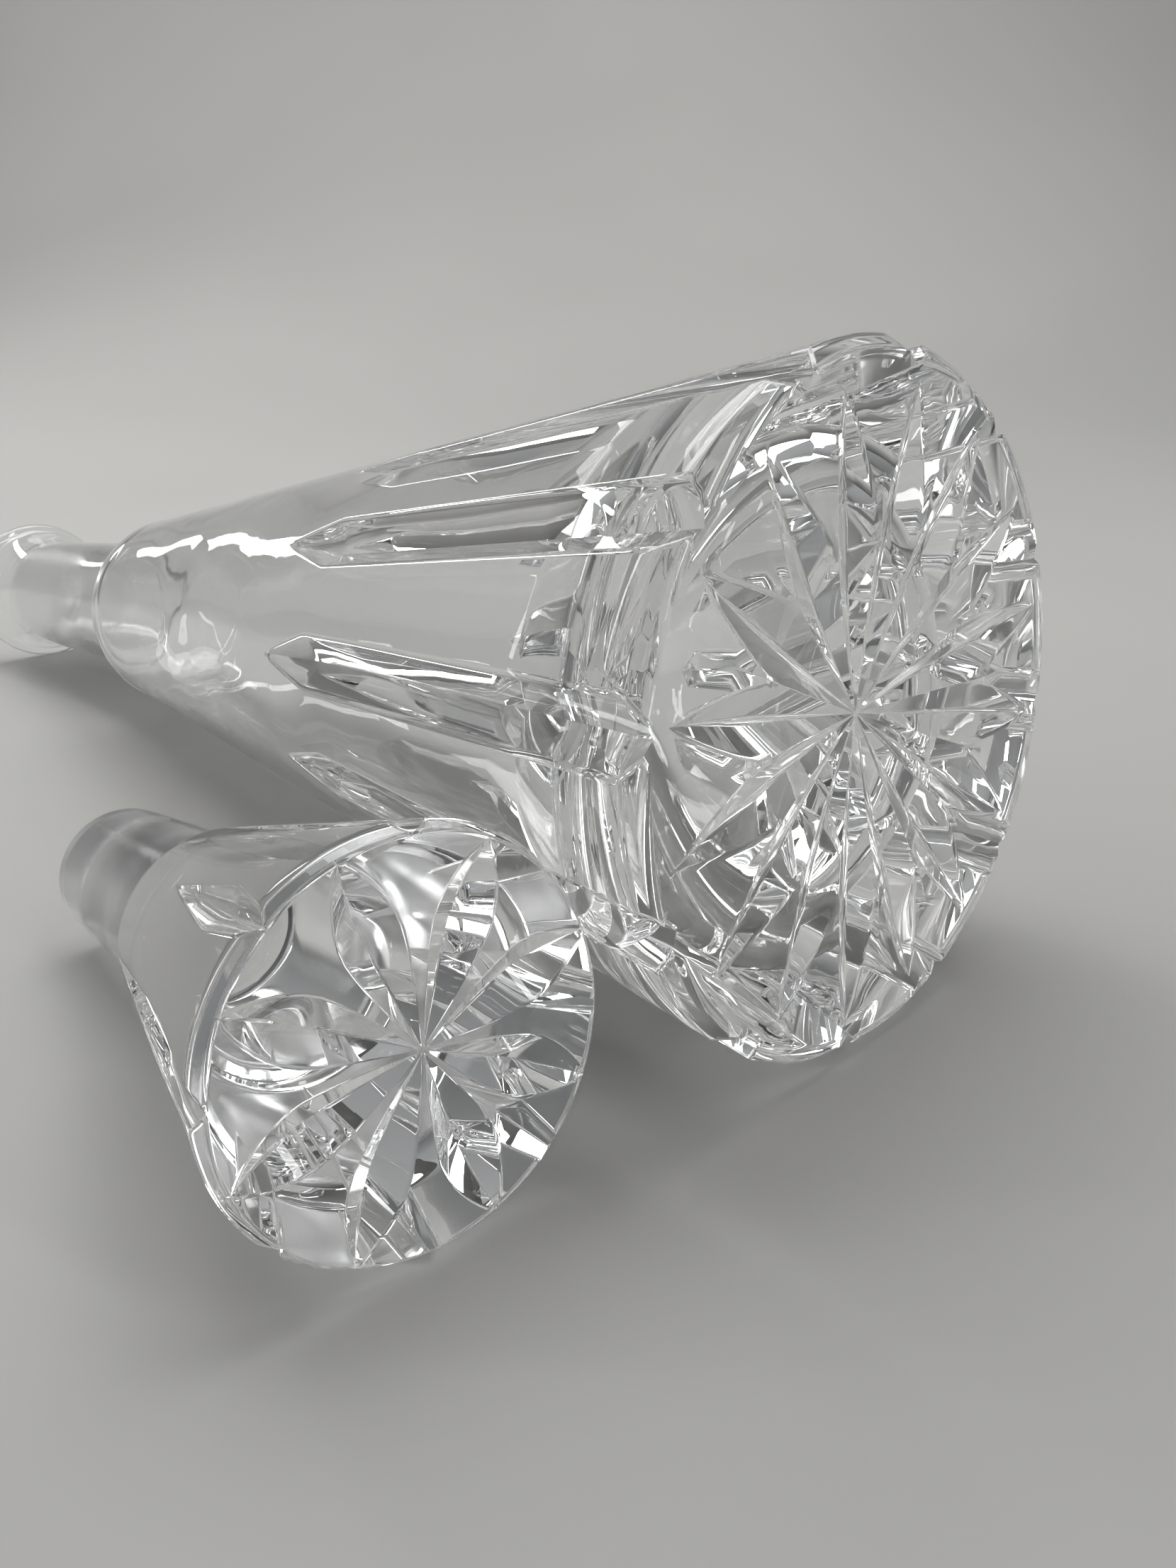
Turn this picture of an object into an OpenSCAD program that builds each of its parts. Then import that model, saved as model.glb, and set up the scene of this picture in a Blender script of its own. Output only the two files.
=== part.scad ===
// Cut crystal decanter with its solid stopper, both lying on their sides on a table.
// Decanter and stopper are each drawn upright from their wide end, then laid down.

/* [Decanter body] */
// Diameter of the flat foot ring the decanter stands on
foot_d = 104; // [90:1:125]
// Width of the bevel between the foot ring and the body's widest place
bevel_w = 2.2; // [1:0.1:4]
// Height of the bevel between the foot ring and the side
bevel_h = 2.4; // [1:0.1:5]
// Height from the foot to the start of the shoulder
body_h = 226; // [185:1:275]
// Diameter where the side ends and the shoulder starts
shoulder_d = 52.2; // [48:0.2:60]
// Height of the shoulder curve
shoulder_h = 22; // [16:1:32]
// Thickness of solid glass under the cavity
base_t = 20; // [14:0.5:30]
// Wall thickness near the foot
wall_foot = 8.2; // [6.5:0.1:12]
// Wall thickness just under the shoulder
wall_top = 4.6; // [3:0.1:7]
// Radius of the curve between the cavity's floor and its wall
heel_r = 9; // [4:0.5:14]

/* [Neck and lip] */
// Height of the neck and lip above the shoulder
neck_h = 90; // [80:1:130]
// Thickness of the neck's wall at the top of the ground socket
neck_wall = 2.745; // [2:0.005:5]
// How much the neck's radius grows from there down to the shoulder
neck_swell = 1.3; // [0.3:0.1:3]
// How far the lip flares out beyond the neck
lip_flare = 5.3; // [3:0.1:9]
// Thickness of the lip's rounded edge
lip_t = 3.2; // [2:0.1:4]
// Height of the flare under the lip
flare_h = 24; // [14:1:30]
// Diameter of the plain throat below the ground socket
throat_d = 25; // [20:0.2:31]
// Length of the ground socket that takes the stopper
socket_h = 46; // [35:1:60]

/* [Side grooves] */
// Number of vertical grooves round the body
groove_n = 12; // [6:1:16]
// Length of a groove from the foot bevel
groove_len = 108; // [60:1:140]
// Depth of a groove
groove_deep = 4.1; // [2:0.1:4.6]
// Included angle of the cutting edge
cut_angle = 104; // [80:1:120]
// Length over which a groove runs out at its top
groove_runout = 17; // [8:1:30]
// Turn of the grooves about the body's axis
groove_turn = 9.6; // [0:0.1:30]

/* [Foot star] */
// Number of rays in the star cut under the foot
ray_n = 16; // [8:1:20]
// Plain glass between the tips of the rays and the edge of the foot
ray_margin = 4.4; // [2:0.1:12]
// Depth of the star at its centre
star_deep = 5; // [3:0.1:9]
// Included angle of the wider cutting edge used for the star
ray_angle = 125.7; // [100:0.1:140]
// Turn of the star about the body's axis
star_turn = 11.25; // [0:0.25:22.5]

/* [Stopper head] */
// Diameter of the stopper's flat star-cut face
face_d = 53.2; // [44:0.2:64]
// Width of the rim bevel, which makes the head wider than its face
rim_w = 1.3; // [0.6:0.1:3]
// Height of the rim bevel
rim_h = 2.2; // [1:0.1:4]
// Length of the head from its face to the collar
head_h = 59; // [45:1:75]
// How far the collar at the end of the head stands out beyond the plug
collar_w = 2.695; // [2:0.005:6]
// Number of leaf-shaped rays on the face
leaf_n = 8; // [6:2:12]
// Depth of a leaf at its widest point
leaf_deep = 3.3; // [1.5:0.1:4.5]
// Distance from the centre to a leaf's widest point
leaf_wide = 16; // [10:0.5:19]
// Turn of the face's star about the stopper's axis
leaf_turn = 29.2; // [0:0.1:45]
// Plain glass between the ends of the long side cuts and the collar
long_stop = 1; // [0.5:0.5:15]
// Length of the short cuts down the side of the head
short_cut = 37; // [20:1:60]
// Depth of the long side cuts
long_deep = 3.4; // [1.5:0.1:4.5]
// Depth of the short side cuts
short_deep = 2.8; // [1.5:0.1:4.5]

/* [Stopper plug] */
// Gap all round between the plug and its socket when seated
plug_gap = 0.15; // [0.05:0.05:0.4]
// Length of the ground plug below the collar's step
plug_h = 45; // [34:1:58]
// Height of the step between the collar and the plug
step_h = 3.4; // [2:0.2:6]
// Chamfer at the plug's end
plug_chamfer = 1; // [0.4:0.1:2]
// Narrowing of socket and plug across their diameter, per millimetre of length
taper = 0.085; // [0.04:0.005:0.12]

/* [How they lie] */
// How far the stopper's face is set back from the decanter's foot
stopper_back = 10.4; // [0:0.2:40]
// Turn of the lying stopper towards the decanter's side
stopper_yaw = 4.8; // [0:0.1:8]
// Gap left between the two pieces as they lie side by side
rest_gap = 1; // [0.5:0.1:20]

/* [Hidden] */
$fn = 128;
leaf_start = 0.5;               // radius at which the leaves start, just off the centre
pit_r = 0.9;                    // small pit where the foot's rays meet
over = 2.5;                     // how far cutters reach past the glass
curve_n = 7;                    // steps in each curved part of a profile
rim_share = 0.55;               // depth of a side cut at the rim, as a share of its deepest
low_share = 0.36;               // place of its deepest point, as a share of its length
leaf_edge = 0.1;                // plain glass outside a leaf's tip
collar_edge = 1;                // rounding of the collar
funnel_start = 6;               // how far the outside starts to flare below the funnel's bottom
foot_r = foot_d / 2;
body_r = foot_r + bevel_w;
shoulder_r = shoulder_d / 2;
edge_r = lip_t / 2;             // rounding of the lip
throat_r = throat_d / 2;
side_slope = (body_r - shoulder_r) / (body_h - bevel_h);
side_angle = atan(side_slope);
vee = tan(cut_angle / 2);
wide_vee = tan(ray_angle / 2);
inner_foot_r = body_r - side_slope * (base_t + heel_r - bevel_h) - wall_foot;
inner_top_r = shoulder_r - wall_top;
neck_z = body_h + shoulder_h;
total_h = neck_z + neck_h;
flare_z = total_h - flare_h;
mouth_h = flare_h - funnel_start; // depth of the funnel inside the lip
mouth_z = total_h - mouth_h;
socket_z = mouth_z - socket_h;
socket_top_r = throat_r + taper * socket_h / 2;
neck_top_r = socket_top_r + neck_wall;
neck_r = neck_top_r + neck_swell;
lip_r = neck_top_r + lip_flare;
ray_tip = foot_r - ray_margin;
face_r = face_d / 2;
head_r = face_r + rim_w;
long_cut = head_h - long_stop;
plug_top_r = socket_top_r - plug_gap;
collar_r = plug_top_r + collar_w;
head_slope = (head_r - collar_r) / (head_h - rim_h);
head_angle = atan(head_slope);
plug_z = head_h + step_h;
stopper_h = plug_z + plug_h;
plug_end_r = plug_top_r - taper * plug_h / 2;
// The decanter rests on the edge of its foot bevel and on its lip.
lip_rest_z = total_h - edge_r;
lean = atan((body_r - lip_r) / (lip_rest_z - bevel_h));
foot_height = body_r * cos(lean) + bevel_h * sin(lean);
// The stopper rests on its rim and on the end of its plug.
tip = atan((head_r - plug_end_r) / (stopper_h - plug_chamfer - rim_h));
face_height = head_r * cos(tip) + rim_h * sin(tip);
// Sideways distance that leaves the gap between the two round bodies.
beside = sqrt(pow(body_r + head_r + rest_gap, 2) - pow(foot_height - face_height, 2));
// Middle of the pair on the table.
low_x = -lip_rest_z * cos(lean) - lip_r * sin(lean);
high_x = body_r * sin(lean) - bevel_h * cos(lean);
mid_x = (low_x + high_x) / 2;
mid_y = (body_r - beside - head_r) / 2;
glass = [0.88, 0.91, 0.92, 0.55];
glass_stopper = [0.80, 0.86, 0.90, 0.55];

function ease(u) = (1 + cos(180 * u)) / 2;
function steps() = [for (i = [1:curve_n]) i / curve_n];

// A straight V cut along Z, its valley on the Z axis and its mouth towards +X.
module vee_bar(length, reach, spread = vee) {
    linear_extrude(length)
        polygon([[0, 0], [reach, reach * spread], [reach, -reach * spread]]);
}

// The decanter's outside, as half a section.
module decanter_outline() {
    shoulder = [for (u = steps()) [neck_r + (shoulder_r - neck_r) * ease(u), body_h + shoulder_h * u]];
    flare = [for (u = steps())
        [neck_top_r + (lip_r - edge_r - neck_top_r) * (1 - cos(90 * u)),
         flare_z + (flare_h - lip_t) * sin(90 * u)]];
    edge = [for (u = steps())
        [lip_r - edge_r + edge_r * sin(180 * u), total_h - edge_r - edge_r * cos(180 * u)]];
    polygon(concat(
        [[0, 0], [foot_r, 0], [body_r, bevel_h], [shoulder_r, body_h]],
        shoulder,
        [[neck_top_r, flare_z]],
        flare,
        edge,
        [[0, total_h]]));
}

// The space inside: cavity, throat, ground socket and the funnel in the lip.
module decanter_hollow() {
    heel = [for (u = steps())
        [inner_foot_r - heel_r + heel_r * sin(90 * u), base_t + heel_r - heel_r * cos(90 * u)]];
    inner_shoulder = [for (u = steps())
        [throat_r + (inner_top_r - throat_r) * ease(u), body_h + shoulder_h * u]];
    funnel = [for (u = steps())
        [socket_top_r + (lip_r - lip_t - socket_top_r) * (1 - cos(90 * u)),
         mouth_z + (mouth_h - edge_r / 2) * sin(90 * u)]];
    polygon(concat(
        [[0, base_t], [inner_foot_r - heel_r, base_t]],
        heel,
        [[inner_top_r, body_h]],
        inner_shoulder,
        [[throat_r, socket_z], [socket_top_r, mouth_z]],
        funnel,
        [[lip_r - lip_t, total_h + over], [0, total_h + over]]));
}

// A V cut whose valley falls from the surface to its deepest point and rises again. It is what
// two straight V bars have in common: one rises to the surface at top_z, and the other rises
// to bottom_deep at bottom_z. They cross at the deepest point, at height low_z.
module stroke_cut(bottom_z, bottom_deep, low_z, deep, top_z) {
    up = atan(deep / (top_z - low_z));
    down = atan((deep - bottom_deep) / (low_z - bottom_z));
    below = low_z - bottom_z + over;
    above = top_z - low_z + over;
    translate([-deep, 0, low_z])
        intersection() {
            rotate([0, up, 0])
                translate([0, 0, -below / cos(up)])
                    vee_bar((below + above) / cos(up), deep + over + below * tan(up));
            rotate([0, -down, 0])
                translate([0, 0, -below / cos(down)])
                    vee_bar((below + above) / cos(down), deep + over + above * tan(down));
        }
}

// One vertical groove: straight from the foot, then run out to a point.
module side_groove() {
    straight = groove_len - groove_runout;
    translate([body_r, 0, bevel_h])
        rotate([0, -side_angle, 0])
            stroke_cut(-bevel_h - over, groove_deep, straight, groove_deep, groove_len);
}

// One ray of the foot's star, deepening in a straight line from its tip to the centre.
module foot_ray() {
    fall = atan(star_deep / ray_tip);
    translate([ray_tip, 0, 0])
        rotate([0, fall - 90, 0])
            mirror([1, 0, 0])
                vee_bar((ray_tip - pit_r / 2) / cos(fall), star_deep + over, wide_vee);
}

// The decanter as it stands, foot at z = 0.
module decanter_upright() {
    difference() {
        rotate_extrude() decanter_outline();
        rotate_extrude() decanter_hollow();
        for (i = [0:groove_n - 1])
            rotate([0, 0, groove_turn + i * 360 / groove_n])
                side_groove();
        for (i = [0:ray_n - 1])
            rotate([0, 0, star_turn + i * 360 / ray_n])
                foot_ray();
        translate([0, 0, -over])
            cylinder(h = star_deep + over, r = pit_r);
    }
}

// One leaf on the stopper's face, from the centre to the rim.
module face_leaf() {
    rotate([0, 90, 0])
        stroke_cut(leaf_start, 0, leaf_wide, leaf_deep, face_r - leaf_edge);
}

// One cut down the side of the stopper's head, from the rim.
module head_cut(length, deep) {
    translate([head_r, 0, rim_h])
        rotate([0, -head_angle, 0])
            stroke_cut(-rim_h - over, deep * rim_share, length * low_share, deep, length);
}

// The stopper with its face at z = 0 and its plug upwards.
module stopper_upright() {
    step = [for (u = steps())
        [plug_top_r + (collar_r - collar_edge - plug_top_r) * (1 - sin(90 * u)),
         head_h + collar_edge + (step_h - collar_edge) * (1 - cos(90 * u))]];
    difference() {
        rotate_extrude()
            polygon(concat(
                [[0, 0], [face_r, 0], [head_r, rim_h], [collar_r, head_h]],
                [[collar_r - collar_edge, head_h + collar_edge]],
                step,
                [[plug_end_r + taper * plug_chamfer / 2, stopper_h - plug_chamfer],
                 [plug_end_r - plug_chamfer, stopper_h],
                 [0, stopper_h]]));
        for (i = [0:leaf_n - 1])
            rotate([0, 0, leaf_turn + i * 360 / leaf_n])
                face_leaf();
        for (i = [0:leaf_n - 1])
            rotate([0, 0, leaf_turn + (i + 0.5) * 360 / leaf_n])
                if (i % 2 == 0) head_cut(short_cut, short_deep);
                else head_cut(long_cut, long_deep);
    }
}

module decanter() {
    color(glass)
        translate([-mid_x, -mid_y, foot_height])
            rotate([0, -90 - lean, 0])
                decanter_upright();
}

module stopper() {
    color(glass_stopper)
        translate([-mid_x - stopper_back, -mid_y - beside, face_height])
            rotate([0, 0, -stopper_yaw])
                rotate([0, -90 - tip, 0])
                    stopper_upright();
}

decanter();
stopper();
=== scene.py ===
import math
import bpy
import numpy as np
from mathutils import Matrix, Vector


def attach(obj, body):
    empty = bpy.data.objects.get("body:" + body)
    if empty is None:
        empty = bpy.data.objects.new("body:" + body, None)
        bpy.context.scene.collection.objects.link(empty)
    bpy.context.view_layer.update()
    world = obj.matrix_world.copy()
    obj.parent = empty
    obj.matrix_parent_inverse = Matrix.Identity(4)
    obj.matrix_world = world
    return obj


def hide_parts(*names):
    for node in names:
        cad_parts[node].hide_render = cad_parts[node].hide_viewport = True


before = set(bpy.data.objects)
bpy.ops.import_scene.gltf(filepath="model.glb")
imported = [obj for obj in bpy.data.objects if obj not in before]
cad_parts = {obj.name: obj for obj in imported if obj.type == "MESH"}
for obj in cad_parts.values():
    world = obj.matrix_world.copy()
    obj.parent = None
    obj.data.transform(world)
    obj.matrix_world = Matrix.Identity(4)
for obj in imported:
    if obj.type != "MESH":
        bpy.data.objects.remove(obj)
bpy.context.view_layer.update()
print("frame loaded", sorted(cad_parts))

mm = 0.001
fullTurn = 2 * math.pi
quarterTurn = math.pi / 2
veeSlope = math.tan(math.radians(52))  # half width of a cut for each unit of its depth
settling = 12  # rounds that settle the angle of a cut's edge


def along(start, end, count):
    return start + (end - start) * np.linspace(0, 1, count)


def softStep(value, low, high):
    t = np.clip((value - low) / (high - low), 0, 1)
    return t * t * (3 - 2 * t)


def wave(turn, height, seed, strength):
    # a hand-blown wall: a few long sine waves round and along, at random phases
    random = np.random.default_rng(seed)
    total = np.zeros(np.broadcast(turn, height).shape)
    # waves round the wall, length of a wave along it in mm, share of the height
    for around, length, share in ((1, 95, 1.0), (2, 60, 0.7), (3, 120, 0.5), (5, 44, 0.3), (4, 27, 0.18)):
        phase = random.uniform(0, fullTurn, 2)
        total += share * np.sin(around * turn + phase[0]) * np.sin(fullTurn * height / length + phase[1])
    return strength * total


def closedSkin(name, turn, radius, height, firstTip, lastTip, place, ground, sharp):
    # rows run from one point on the axis to another, and columns run once round the axis
    rows, columns = radius.shape
    flat = np.stack([radius * np.cos(turn), radius * np.sin(turn), height], axis=-1).reshape(-1, 3)
    local = np.vstack([[[0, 0, firstTip]], flat, [[0, 0, lastTip]]])
    origin, basis = place
    points = (origin + local @ basis) * mm
    i, j = np.meshgrid(np.arange(rows - 1), np.arange(columns), indexing="ij")
    after = (j + 1) % columns
    corners = [i * columns + j, i * columns + after, (i + 1) * columns + after, (i + 1) * columns + j]
    quads = np.stack(corners, axis=-1).reshape(-1, 4) + 1
    k = np.arange(columns)
    nextK = (k + 1) % columns
    last = (rows - 1) * columns + 1
    firstFan = np.stack([np.zeros(columns, int), 1 + nextK, 1 + k], axis=-1)
    lastFan = np.stack([last + k, last + nextK, np.full(columns, len(points) - 1)], axis=-1)
    mesh = bpy.data.meshes.new(name)
    mesh.from_pydata(points.tolist(), [], firstFan.tolist() + quads.tolist() + lastFan.tolist())
    mesh.polygons.foreach_set("use_smooth", np.ones(len(mesh.polygons), bool))
    mesh.set_sharp_from_angle(angle=math.radians(sharp))
    frosted = mesh.attributes.new("frosted", "FLOAT", "POINT")
    frosted.data.foreach_set("value", np.concatenate([[0], ground.ravel(), [0]]).astype(np.float32))
    mesh.update()
    piece = bpy.data.objects.new(name, mesh)
    bpy.context.scene.collection.objects.link(piece)
    return piece


def cutHalfWidth(valley, outline, slope):
    # angle where a V cut with this valley radius leaves a round outline
    reach = math.sqrt(1 + 1 / slope ** 2)
    part = np.clip(valley / (reach * outline), 0, 1)
    return np.maximum(0, np.arccos(part) - math.atan(1 / slope))


decanter = {
    "columns": 480, "grooves": 12, "grooveTurn": 9.6, "rays": 16, "rayTurn": 11.25,
    "footR": 52.0, "bodyR": 54.2, "bevelH": 2.4, "shoulderR": 26.1, "bodyH": 226.0, "shoulderH": 22.0,
    "neckR": 18.5, "neckTopR": 17.2, "neckTopH": 314.0, "flareR": 3.7, "flareH": 20.8,
    "lipR": 1.6, "lipH": 336.4, "funnelR": 4.845, "funnelH": 17.2, "socketTopR": 14.455,
    "socketTopH": 320.0, "throatR": 12.5, "throatTopH": 274.0, "throatH": 248.0, "innerTopR": 21.5,
    "heelR": 9.0, "heelTopR": 42.66, "floorH": 20.0, "grooveDeep": 4.1, "grooveStraight": 91.0,
    "grooveEnd": 108.0, "rayTip": 47.6, "rayDeep": 4.4, "rayBend": 2.1, "raySlope": 1.95,
    "runOutH": 92.0, "leastHalf": 0.7, "rayFill": 0.9, "calmFrom": 112.0, "calmTo": 190.0,
    "firstRayColumn": 3,
    "sharp": 75.0, "waviness": 0.26, "waveSeed": 7, "floorRipple": 0.5, "centreRise": 0.25,
}


def makeDecanter(d, place):
    n = d["columns"]
    sideAngle = math.atan((d["bodyR"] - d["shoulderR"]) / (d["bodyH"] - d["bevelH"]))
    slope = veeSlope * math.cos(sideAngle)
    perGroove = n // d["grooves"]
    perRay = n // d["rays"]

    def coneR(z):
        return d["bodyR"] - math.tan(sideAngle) * (z - d["bevelH"])

    def valleyR(z):
        slant = (z - d["bevelH"]) / math.cos(sideAngle)
        run = d["grooveEnd"] - d["grooveStraight"]
        deep = d["grooveDeep"] * np.minimum(1, (d["grooveEnd"] - slant) / run)
        return coneR(z) - deep / math.cos(sideAngle)

    def sectorTurn(perSector, firstColumn, firstTurn, half, sector):
        # half of each sector's columns lie inside the cut, so one column follows each edge of it
        j = np.arange(n)
        step = (j - firstColumn + perSector // 2) % perSector - perSector // 2
        index = np.round((j - firstColumn - step) / perSector)
        edge = perSector // 4
        stops = np.abs(step)
        inner = stops / edge
        outer = (stops - edge) / (perSector / 2 - edge)
        half = half[:, None]
        bend = np.sign(step) * np.where(stops <= edge, half * inner, half + (sector / 2 - half) * outer)
        return firstTurn + index * sector + bend, bend

    grooveSector = fullTurn / d["grooves"]
    raySector = fullTurn / d["rays"]
    grooveTurn = math.radians(d["grooveTurn"])
    rayTurn = math.radians(d["rayTurn"])
    least = math.radians(d["leastHalf"])
    turns = []
    radii = []
    heights = []

    def rayDepth(x):
        return d["rayDeep"] * (1 - np.clip(x / d["rayTip"], 0, 1) ** d["rayBend"])

    # foot: rho out from the centre, each ray a V whose valley climbs in a curve from the centre to its tip
    rho = np.array([0.8, 2, 4, 7, 10, 13.5, 17, 21, 25, 29, 33, 37, 40, 42.5, 44.5, 46, 47, 47.6])
    rayHalf = np.zeros(len(rho))
    for tries in range(settling):
        rayHalf = np.arcsin(np.clip(d["raySlope"] * rayDepth(rho * np.cos(rayHalf)) / rho, 0, 1))
    rayHalf = np.clip(rayHalf, least, d["rayFill"] * raySector / 2)
    turn, phi = sectorTurn(perRay, d["firstRayColumn"], rayTurn, rayHalf, raySector)
    r = np.repeat(rho[:, None], n, axis=1)
    sink = rayDepth(r * np.cos(phi)) - r * np.abs(np.sin(phi)) / d["raySlope"]
    turns.append(turn)
    radii.append(r)
    heights.append(np.maximum(0, sink))

    # plain ring between the ray tips and the foot's edge, where the two sets of columns blend
    z = np.zeros(1)
    edgeHalf = np.maximum(least, cutHalfWidth(valleyR(z), np.array([d["footR"]]), slope))
    edgeTurn, edgePhi = sectorTurn(perGroove, 0, grooveTurn, edgeHalf, grooveSector)
    edgeR = np.minimum(d["footR"], valleyR(z)[:, None] / (np.cos(edgePhi) - np.abs(np.sin(edgePhi)) / slope))
    share = np.array([0.3, 0.65, 1.0])[:, None]
    turns.append(turn[-1:] * (1 - share) + edgeTurn * share)
    radii.append(d["rayTip"] * (1 - share) + edgeR * share)
    heights.append(np.zeros((3, n)))

    # bevel and side, with the grooves: the radius is the lesser of the outline and
    # the V, which is its valley's radius over (cos - sin / slope)
    z = np.concatenate([along(0, d["bevelH"], 4)[1:], along(d["bevelH"], d["runOutH"], 18)[1:],
                        along(d["runOutH"], d["calmFrom"], 16)[1:], along(d["calmFrom"], d["bodyH"], 22)[1:]])
    outline = np.where(z < d["bevelH"], d["footR"] + (d["bodyR"] - d["footR"]) * z / d["bevelH"], coneR(z))
    half = cutHalfWidth(valleyR(z), outline, slope)
    calm = grooveSector / 4 * softStep(z, d["calmFrom"], d["calmTo"])
    half = np.maximum(np.maximum(least, calm), half)
    turn, phi = sectorTurn(perGroove, 0, grooveTurn, half, grooveSector)
    groove = valleyR(z)[:, None] / (np.cos(phi) - np.abs(np.sin(phi)) / slope)
    turns.append(turn)
    radii.append(np.minimum(outline[:, None], groove))
    heights.append(np.repeat(z[:, None], n, axis=1))
    evenTurn = turn[-1]

    # the rest is turned on the axis: (radius, height) pairs
    u = along(0, 1, 14)[1:]
    shoulderDrop = d["shoulderR"] - d["neckR"]
    outside = [(d["neckR"] + shoulderDrop * (1 + np.cos(math.pi * u)) / 2, d["bodyH"] + d["shoulderH"] * u)]
    u = along(0, 1, 9)[1:]
    outside.append((d["neckR"] + (d["neckTopR"] - d["neckR"]) * u,
                    d["throatH"] + (d["neckTopH"] - d["throatH"]) * u))
    u = along(0, quarterTurn, 11)[1:]
    outside.append((d["neckTopR"] + d["flareR"] * (1 - np.cos(u)), d["neckTopH"] + d["flareH"] * np.sin(u)))
    u = along(0, math.pi, 9)[1:]
    lipCentre = d["neckTopR"] + d["flareR"]
    outside.append((lipCentre + d["lipR"] * np.sin(u), d["lipH"] - d["lipR"] * np.cos(u)))
    u = along(quarterTurn, 0, 12)[1:]
    outside.append((d["socketTopR"] + d["funnelR"] * (1 - np.cos(u)),
                    d["socketTopH"] + d["funnelH"] * np.sin(u)))
    u = along(0, 1, 8)[1:]
    outside.append((d["socketTopR"] + (d["throatR"] - d["socketTopR"]) * u,
                    d["socketTopH"] + (d["throatTopH"] - d["socketTopH"]) * u))
    u = along(0, 1, 5)[1:]
    outside.append((d["throatR"] + 0 * u, d["throatTopH"] + (d["throatH"] - d["throatTopH"]) * u))
    profile = np.concatenate([np.stack(part) for part in outside], axis=1)
    turns.append(np.repeat(evenTurn[None], profile.shape[1], axis=0))
    radii.append(np.repeat(profile[0][:, None], n, axis=1))
    heights.append(np.repeat(profile[1][:, None], n, axis=1))

    # inside: shoulder, wall, heel and floor, with the slight waves of blown glass
    u = along(0, 1, 11)[1:]
    inside = [(d["innerTopR"] + (d["throatR"] - d["innerTopR"]) * (1 + np.cos(math.pi * u)) / 2,
               d["throatH"] + (d["bodyH"] - d["throatH"]) * u)]
    u = along(0, 1, 30)[1:]
    heelTop = d["floorH"] + d["heelR"]
    inside.append((d["innerTopR"] + (d["heelTopR"] - d["innerTopR"]) * u,
                   d["bodyH"] + (heelTop - d["bodyH"]) * u))
    u = along(0, quarterTurn, 11)[1:]
    heelCentre = d["heelTopR"] - d["heelR"]
    inside.append((heelCentre + d["heelR"] * np.cos(u), heelTop - d["heelR"] * np.sin(u)))
    u = along(heelCentre, 0, 10)[1:-1]
    inside.append((u, d["floorH"] + 0 * u))
    profile = np.concatenate([np.stack(part) for part in inside], axis=1)
    even = np.repeat(evenTurn[None], profile.shape[1], axis=0)
    r = np.repeat(profile[0][:, None], n, axis=1)
    z = np.repeat(profile[1][:, None], n, axis=1)
    inWall = softStep(z, 14, 50) * (1 - softStep(z, 200, 246))
    r = r + inWall * wave(even, z, d["waveSeed"], d["waviness"])
    onFloor = (1 - softStep(r, 26, 42)) * (z < heelTop)
    # the floor's ripple is a round swell with a two-fold twist that grows outwards
    z = z + onFloor * d["floorRipple"] * (np.cos(r / 11) * 0.5 + np.sin(even * 2 + r / 15) * r / 60)
    turns.append(even)
    radii.append(r)
    heights.append(z)

    turn = np.vstack(turns)
    radius = np.vstack(radii)
    height = np.vstack(heights)
    inSocket = radius < d["socketTopR"] + d["lipR"]
    ground = inSocket * (softStep(height, 273, 275) - softStep(height, 318, 321))
    return closedSkin("crystal_decanter", turn, radius, height, d["rayDeep"], d["floorH"] + d["centreRise"],
                      place, np.clip(ground, 0, 1), d["sharp"])


stopper = {
    "columns": 576, "cuts": 8, "leafTurn": 29.2, "leafStart": 0.5, "leafWide": 16.0, "leafTip": 26.5,
    "leafDeep": 3.3, "faceR": 26.6, "headR": 27.9, "rimH": 2.2, "headH": 59.0, "collarR": 17.0,
    "longCut": 58.0, "shortCut": 37.0, "longDeep": 3.4, "shortDeep": 2.8, "deepest": 0.36, "rimShare": 0.55,
    "plugTopR": 14.305, "plugTopH": 62.4, "plugEndR": 12.435, "plugEndH": 106.4, "chamfer": 1.0,
    "stepR": 16.0, "stepH": 60.0, "runOutH": 36.0, "shortEndH": 42.0, "leafFill": 0.92, "leafGap": 0.02,
    "leastHalf": 0.8, "centreDeep": 0.25, "clearEnd": 3.5, "sharp": 75.0,
}


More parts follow.
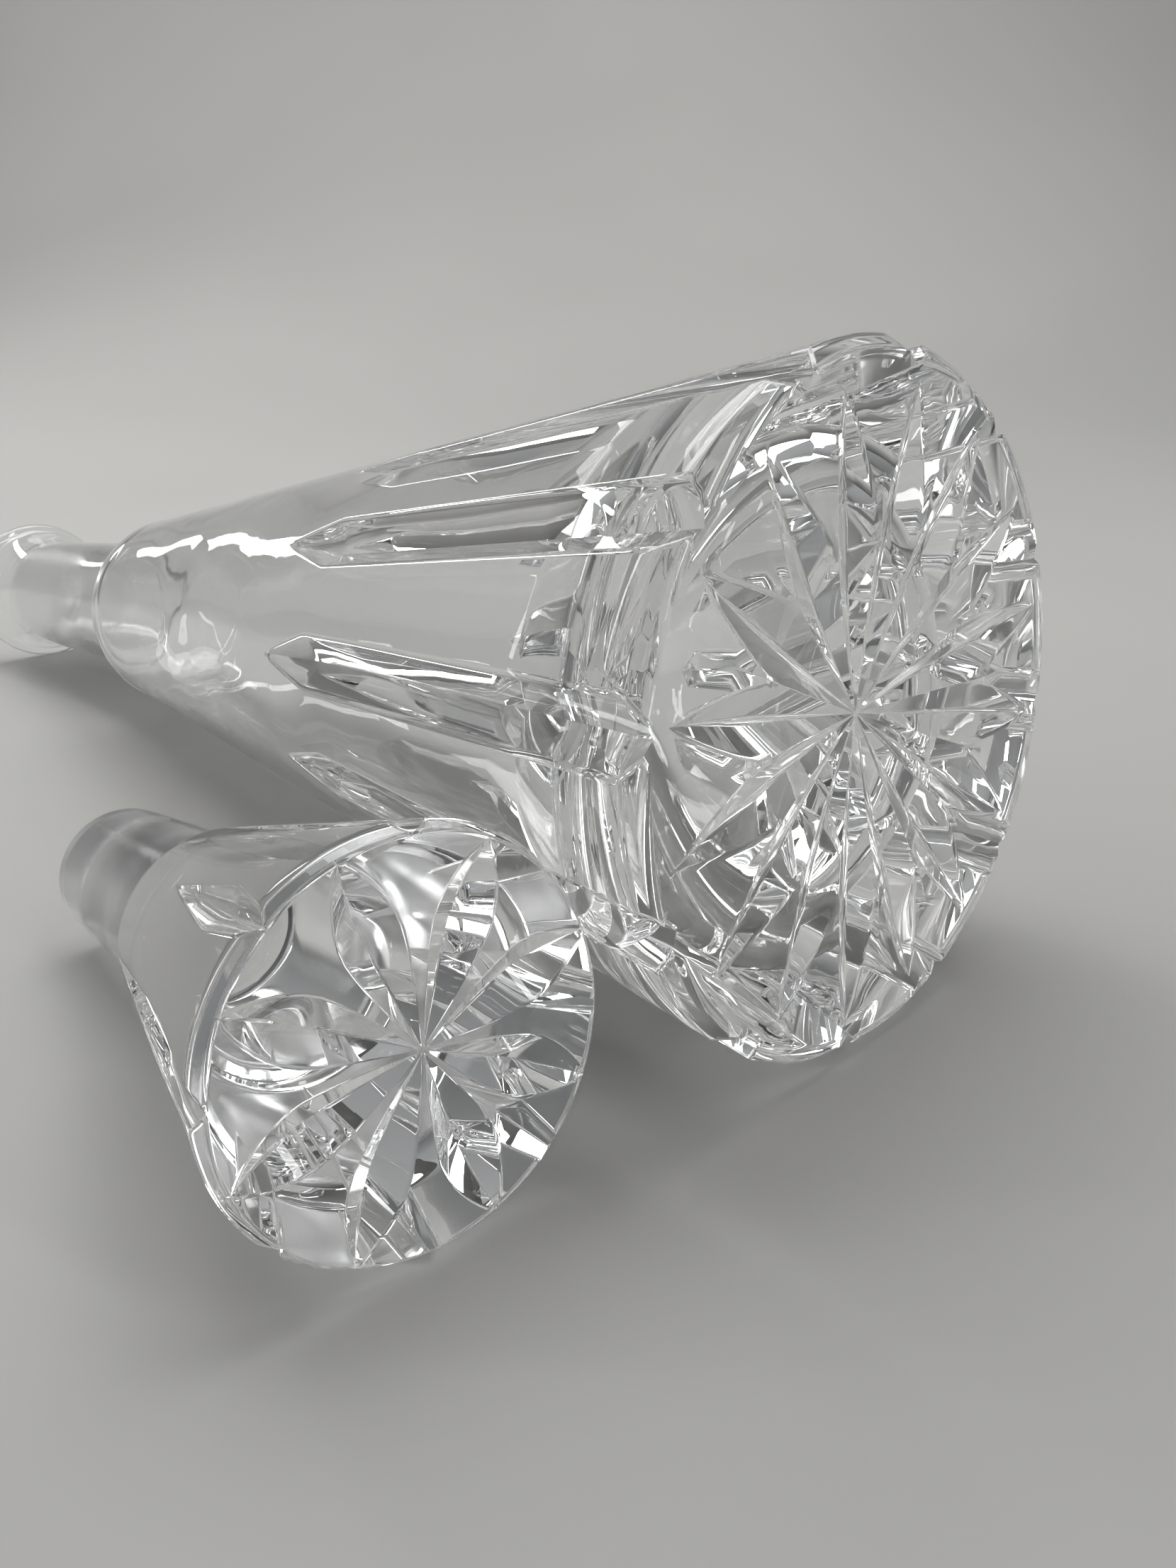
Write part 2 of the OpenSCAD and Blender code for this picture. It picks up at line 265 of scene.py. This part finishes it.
def makeStopper(s, place):
    n = s["columns"]
    per = n // s["cuts"]
    sector = fullTurn / s["cuts"]
    least = math.radians(s["leastHalf"])
    sideAngle = math.atan((s["headR"] - s["collarR"]) / (s["headH"] - s["rimH"]))
    slope = veeSlope * math.cos(sideAngle)
    j = np.arange(n)
    step = (j + per // 2) % per - per // 2
    index = np.round((j - step) / per)
    stops = np.abs(step)
    inCut = per // 6  # columns from a cut's valley to its edge
    side = np.where(step >= 0, index, index - 1) % 2  # which side cut is beside this half sector
    isLong = side == 1

    def halfTurns(leafHalf, longHalf, shortHalf):
        # from a leaf's valley to its edge, across plain glass to the side cut's edge, and on to its valley
        cutHalf = np.where(isLong[None], longHalf[:, None], shortHalf[:, None])
        leaf = leafHalf[:, None] + 0 * cutHalf
        a = leaf * stops / inCut
        b = leaf + (sector / 2 - cutHalf - leaf) * (stops - inCut) / (per / 2 - 2 * inCut)
        c = sector / 2 - cutHalf * (per / 2 - stops) / inCut
        bend = np.where(stops <= inCut, a, np.where(stops < per / 2 - inCut, b, c))
        fromLeaf = np.sign(step) * bend
        return math.radians(s["leafTurn"]) + index * sector + fromLeaf, bend

    def coneR(z):
        return s["headR"] - math.tan(sideAngle) * (z - s["rimH"])

    def valleyR(z, length, deep):
        slant = (z - s["rimH"]) / math.cos(sideAngle)
        low = s["deepest"] * length
        rising = s["rimShare"] + (1 - s["rimShare"]) * slant / low
        falling = (length - slant) / (length - low)
        return coneR(z) - deep * np.minimum(rising, falling) / math.cos(sideAngle)

    def leafDepth(x):
        u = np.clip((s["leafWide"] - x) / (s["leafWide"] - s["leafStart"]), 0, 1)
        v = np.clip((x - s["leafWide"]) / (s["leafTip"] - s["leafWide"]), 0, 1)
        return s["leafDeep"] * np.where(x < s["leafWide"], 1 - u ** 1.35, 1 - v ** 2)

    turns = []
    radii = []
    heights = []

    # face: each leaf is a V whose valley dips in a curve from the centre to its widest place and back
    rho = np.array([0.7, 1.2, 2, 3, 4.5, 6, 8, 10, 12, 14, 16, 18, 20, 21.5, 23, 24, 25, 25.8, 26.3,
                    s["faceR"]])
    leafHalf = np.zeros(len(rho))
    for tries in range(settling):
        leafHalf = np.arcsin(np.clip(veeSlope * leafDepth(rho * np.cos(leafHalf)) / rho, 0, 1))
    leafHalf = np.clip(leafHalf, least, s["leafFill"] * sector / 2)
    z = np.zeros(len(rho))
    longHalf = np.maximum(least, cutHalfWidth(valleyR(z, s["longCut"], s["longDeep"]), s["faceR"], slope))
    shortHalf = np.maximum(least, cutHalfWidth(valleyR(z, s["shortCut"], s["shortDeep"]), s["faceR"], slope))
    room = (sector / 2 - np.minimum(leafHalf, sector / 2 - s["leafGap"] - least)) / 2
    longHalf = np.minimum(longHalf, room)
    shortHalf = np.minimum(shortHalf, room)
    turn, bend = halfTurns(leafHalf, longHalf, shortHalf)
    r = np.repeat(rho[:, None], n, axis=1)
    sink = leafDepth(r * np.cos(bend)) - r * np.sin(bend) / veeSlope
    fromCut = sector / 2 - bend

    def cutSurface(z, fromCut):
        spread = np.cos(fromCut) - np.sin(fromCut) / slope
        longR = valleyR(z, s["longCut"], s["longDeep"])[:, None] / spread
        shortR = valleyR(z, s["shortCut"], s["shortDeep"])[:, None] / spread
        return np.where(isLong[None], longR, shortR)

    turns.append(turn)
    radii.append(np.minimum(r, cutSurface(z, fromCut)))
    heights.append(np.maximum(0, sink))

    # bright bevel and head side, with the side cuts
    z = np.concatenate([along(0, s["rimH"], 4)[1:], along(s["rimH"], s["runOutH"], 20)[1:],
                        along(s["runOutH"], s["shortEndH"], 8)[1:],
                        along(s["shortEndH"], s["headH"], 16)[1:]])
    outline = np.where(z < s["rimH"], s["faceR"] + (s["headR"] - s["faceR"]) * z / s["rimH"], coneR(z))
    longHalf = np.maximum(least, cutHalfWidth(valleyR(z, s["longCut"], s["longDeep"]), outline, slope))
    shortHalf = np.maximum(least, cutHalfWidth(valleyR(z, s["shortCut"], s["shortDeep"]), outline, slope))
    leafHalf = least + (sector / 6 - least) * softStep(z, 0, 20)
    turn, bend = halfTurns(leafHalf, longHalf, shortHalf)
    turns.append(turn)
    radii.append(np.minimum(outline[:, None], cutSurface(z, sector / 2 - bend)))
    heights.append(np.repeat(z[:, None], n, axis=1))
    evenTurn = turn[-1]

    # collar, step, tapered plug and its end, turned on the axis
    endR = s["plugEndR"] - s["chamfer"]
    endH = s["plugEndH"] + s["chamfer"]
    radius = np.concatenate([along(s["collarR"], s["stepR"], 4)[1:], along(s["stepR"], s["plugTopR"], 4)[1:],
                             along(s["plugTopR"], s["plugEndR"], 14)[1:], along(s["plugEndR"], endR, 4)[1:],
                             along(endR, 0, 7)[1:-1]])
    height = np.concatenate([along(s["headH"], s["stepH"], 4)[1:], along(s["stepH"], s["plugTopH"], 4)[1:],
                             along(s["plugTopH"], s["plugEndH"], 14)[1:], along(s["plugEndH"], endH, 4)[1:],
                             np.full(5, endH)])
    turns.append(np.repeat(evenTurn[None], len(radius), axis=0))
    radii.append(np.repeat(radius[:, None], n, axis=1))
    heights.append(np.repeat(height[:, None], n, axis=1))
    turn = np.vstack(turns)
    radius = np.vstack(radii)
    height = np.vstack(heights)
    ground = softStep(height, s["plugTopH"] - 0.4, s["plugTopH"] + 0.6)
    clearFrom = s["plugEndH"] - s["clearEnd"]
    ground = ground * (1 - softStep(height, clearFrom, clearFrom + 1))
    return closedSkin("crystal_stopper", turn, radius, height, s["centreDeep"], endH, place,
                      ground, s["sharp"])


def turnedFrame(lean, yaw):
    # rows of the basis: the direction of angle 0, the direction of angle 90, and the axis from the cut end
    lean = math.radians(lean)
    yaw = math.radians(yaw)
    flat = np.array([[-math.sin(lean), 0, math.cos(lean)], [0, 1, 0], [-math.cos(lean), 0, -math.sin(lean)]])
    spin = np.array([[math.cos(yaw), math.sin(yaw), 0], [-math.sin(yaw), math.cos(yaw), 0], [0, 0, 1]])
    return flat @ spin


# centre of each piece's cut end in mm, then its lean and turn in degrees
decanterPlace = (np.array([167.1445, 26.2701, 54.1843]), turnedFrame(5.4217, 0))
stopperPlace = (np.array([156.7445, -52.5701, 27.9199]), turnedFrame(8.4649, -4.8))
decanterPiece = makeDecanter(decanter, decanterPlace)
stopperPiece = makeStopper(stopper, stopperPlace)
for piece, node, slotName in ((decanterPiece, "decanter", "crystal_body"),
                              (stopperPiece, "stopper", "crystal_stopper")):
    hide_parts(node)
    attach(piece, node)
    print(piece.name, "faces", len(piece.data.polygons))


class Wire:
    # one output socket that can be used in sums, in its own node tree
    def __init__(self, tree, socket):
        self.tree = tree
        self.socket = socket

    def sum(self, operation, *terms):
        return addNode(self.tree, "ShaderNodeMath", {"operation": operation}, 0, dict(enumerate(terms)))

    def __add__(self, other):
        return self.sum("ADD", self, other)

    def __radd__(self, other):
        return self.sum("ADD", other, self)

    def __sub__(self, other):
        return self.sum("SUBTRACT", self, other)

    def __rsub__(self, other):
        return self.sum("SUBTRACT", other, self)

    def __mul__(self, other):
        return self.sum("MULTIPLY", self, other)

    def __rmul__(self, other):
        return self.sum("MULTIPLY", other, self)


def plug(tree, socket, value):
    if isinstance(value, Wire):
        tree.links.new(value.socket, socket)
    else:
        socket.default_value = value


def addNode(tree, kind, settings=None, output=0, sockets=None, **inputs):
    # inputs are named as Blender names them, with _ for a space; sockets are given by number
    node = tree.nodes.new(kind)
    for name, value in (settings or {}).items():
        setattr(node, name, value)
    for number, value in (sockets or {}).items():
        plug(tree, node.inputs[number], value)
    for name, value in inputs.items():
        plug(tree, node.inputs[name.replace("_", " ")], value)
    return Wire(tree, node.outputs[output])


def mixColour(factor, first, second):
    colours = {0: factor, 6: (*first, 1), 7: (*second, 1)}
    return addNode(factor.tree, "ShaderNodeMix", {"data_type": "RGBA"}, 2, colours)


def noise(place, scale, detail, roughness=0.5):
    return addNode(place.tree, "ShaderNodeTexNoise", Vector=place, Scale=scale, Detail=detail,
                   Roughness=roughness)


def ramp(value, low, high, start, end):
    return addNode(value.tree, "ShaderNodeMapRange", {"interpolation_type": "SMOOTHSTEP"}, Value=value,
                   From_Min=low, From_Max=high, To_Min=start, To_Max=end)


def newMaterial(name):
    material = bpy.data.materials.new(name)
    material.use_nodes = True
    tree = material.node_tree
    tree.nodes.clear()
    return material, tree


def finishMaterial(tree, shader):
    output = tree.nodes.new("ShaderNodeOutputMaterial")
    tree.links.new(shader.socket, output.inputs["Surface"])


crystalLook = {"clear": (0.985, 0.99, 0.988), "ground": (0.74, 0.76, 0.77), "ior": 1.545, "smearScale": 38.0,
               "swellScale": 70.0, "swellStrength": 0.035, "swellDeep": 0.0012, "grainScale": 5200.0,
               "grainStrength": 0.3, "grainDeep": 0.00006, "grainRough": 0.1}


def crystal(name, look, groundRough, dust):
    # clear glass with faint smears, and ground glass where the mesh says frosted
    material, tree = newMaterial(name)
    place = addNode(tree, "ShaderNodeTexCoord", output=3)
    frosted = addNode(tree, "ShaderNodeAttribute", {"attribute_name": "frosted"}, 2)
    haze = ramp(noise(place, look["smearScale"], 4.0, 0.6), 0.5, 0.72, 0.0, dust)
    fine = noise(place, look["grainScale"], 2.0)
    slow = noise(place, look["swellScale"], 1.5)
    rough = haze + frosted * (groundRough - look["grainRough"] / 2 + fine * look["grainRough"])
    swell = addNode(tree, "ShaderNodeBump", Height=slow, Strength=look["swellStrength"],
                    Distance=look["swellDeep"])
    grain = addNode(tree, "ShaderNodeBump", Height=fine * frosted, Normal=swell,
                    Strength=look["grainStrength"], Distance=look["grainDeep"])
    colour = mixColour(frosted, look["clear"], look["ground"])
    glass = addNode(tree, "ShaderNodeBsdfPrincipled", Base_Color=colour, Roughness=rough, Normal=grain,
                    IOR=look["ior"], Transmission_Weight=1.0)
    finishMaterial(tree, glass)
    return material


decanterPiece.data.materials.append(crystal("cut crystal body", crystalLook, 0.17, 0.02))
stopperPiece.data.materials.append(crystal("cut crystal stopper", crystalLook, 0.055, 0.012))
print("materials made")


cameraAt = np.array([0.255556, -0.121692, 0.108855])
looking = np.array([-0.66500, 0.65148, -0.36517])
cameraData = bpy.data.cameras.new("camera")
cameraData.lens = 26.874
cameraData.sensor_width = 36
cameraData.clip_start = 0.01
camera = bpy.data.objects.new("camera", cameraData)
camera.location = cameraAt
camera.rotation_euler = Vector(looking).to_track_quat("-Z", "Y").to_euler()
bpy.context.scene.collection.objects.link(camera)
bpy.context.scene.camera = camera


studio = {"forward": (-0.7143, 0.6998), "near": -1.3, "flat": 0.45, "bend": 0.9, "top": 2.0, "half": 1.7,
          "paper": (0.39, 0.385, 0.372)}


def sweepPaper(s):
    # a flat floor that bends up into a wall: arc of radius bend, then straight to the top
    flat = along(s["near"], s["flat"], 12)
    u = along(0, quarterTurn, 24)[1:]
    run = np.concatenate([flat, s["flat"] + s["bend"] * np.sin(u), np.full(8, s["flat"] + s["bend"])])
    rise = np.concatenate([0 * flat, s["bend"] * (1 - np.cos(u)), along(s["bend"], s["top"], 9)[1:]])
    across = along(-s["half"], s["half"], 13)
    forward = np.array([*s["forward"], 0])
    side = np.array([-s["forward"][1], s["forward"][0], 0])
    up = np.array([0, 0, 1])
    points = run[:, None, None] * forward + across[None, :, None] * side + rise[:, None, None] * up
    rows, columns = points.shape[:2]
    i, j = np.meshgrid(np.arange(rows - 1), np.arange(columns - 1), indexing="ij")
    corner = i * columns + j
    faces = np.stack([corner, corner + columns, corner + columns + 1, corner + 1], axis=-1).reshape(-1, 4)
    mesh = bpy.data.meshes.new("paper sweep")
    mesh.from_pydata(points.reshape(-1, 3).tolist(), [], faces.tolist())
    mesh.polygons.foreach_set("use_smooth", np.ones(len(mesh.polygons), bool))
    paper = bpy.data.objects.new("paper_sweep", mesh)
    bpy.context.scene.collection.objects.link(paper)
    material, tree = newMaterial("pale paper")
    cloud = noise(addNode(tree, "ShaderNodeTexCoord", output=3), 2.5, 2.0)
    dark = [0.96 * part for part in s["paper"]]
    light = [1.03 * part for part in s["paper"]]
    tone = mixColour(ramp(cloud, 0.3, 0.7, 0.0, 1.0), dark, light)
    finishMaterial(tree, addNode(tree, "ShaderNodeBsdfPrincipled", Base_Color=tone, Roughness=0.9))
    mesh.materials.append(material)
    return paper


def areaLight(name, centre, facing, width, height, power):
    data = bpy.data.lights.new(name, "AREA")
    data.shape = "RECTANGLE"
    data.size = width
    data.size_y = height
    data.energy = power
    light = bpy.data.objects.new(name, data)
    light.location = centre
    light.rotation_euler = (Vector(facing) - Vector(centre)).to_track_quat("-Z", "Y").to_euler()
    bpy.context.scene.collection.objects.link(light)
    return light


middle = (0.0, 0.0, 0.04)
sweepPaper(studio)
areaLight("soft_top", (-0.30, 0.35, 1.25), (-0.15, 0.2, 0.0), 1.3, 0.8, 11.5)
areaLight("strip_front", (0.85, 0.15, 0.75), middle, 0.08, 0.9, 1.9)
areaLight("strip_left", (-0.55, -0.65, 0.6), middle, 0.06, 0.8, 1.2)
areaLight("strip_neck", (-0.85, 0.0, 0.5), middle, 0.08, 0.5, 1.4)
areaLight("wall_wash", (-0.1, 0.05, 1.3), (-0.75, 0.75, 0.45), 1.4, 0.6, 7.0)

world = bpy.data.worlds.new("studio air")
bpy.context.scene.world = world
world.use_nodes = True
tree = world.node_tree
tree.nodes.clear()
direction = addNode(tree, "ShaderNodeTexCoord")
lift = addNode(tree, "ShaderNodeSeparateXYZ", output=2, sockets={0: direction})
openSide = (0.70, -0.69, 0.18)  # the studio's dark, open side
opening = addNode(tree, "ShaderNodeVectorMath", {"operation": "DOT_PRODUCT"}, 1, {0: direction, 1: openSide})
glow = ramp(lift, 0.0, 0.9, 0.13, 0.38) * ramp(opening, 0.15, 0.7, 1.0, 0.3)
sky = addNode(tree, "ShaderNodeBackground", Color=(0.97, 0.985, 1.0, 1), Strength=glow)
output = tree.nodes.new("ShaderNodeOutputWorld")
tree.links.new(sky.socket, output.inputs["Surface"])
print("studio made")

scene = bpy.context.scene
scene.view_settings.view_transform = "Standard"
scene.cycles.max_bounces = 72
scene.cycles.transmission_bounces = 64
scene.cycles.glossy_bounces = 64
scene.cycles.diffuse_bounces = 3
scene.cycles.caustics_refractive = True
scene.cycles.caustics_reflective = True
scene.cycles.blur_glossy = 0.6
scene.cycles.sample_clamp_indirect = 6.0
scene.cycles.use_denoising = True
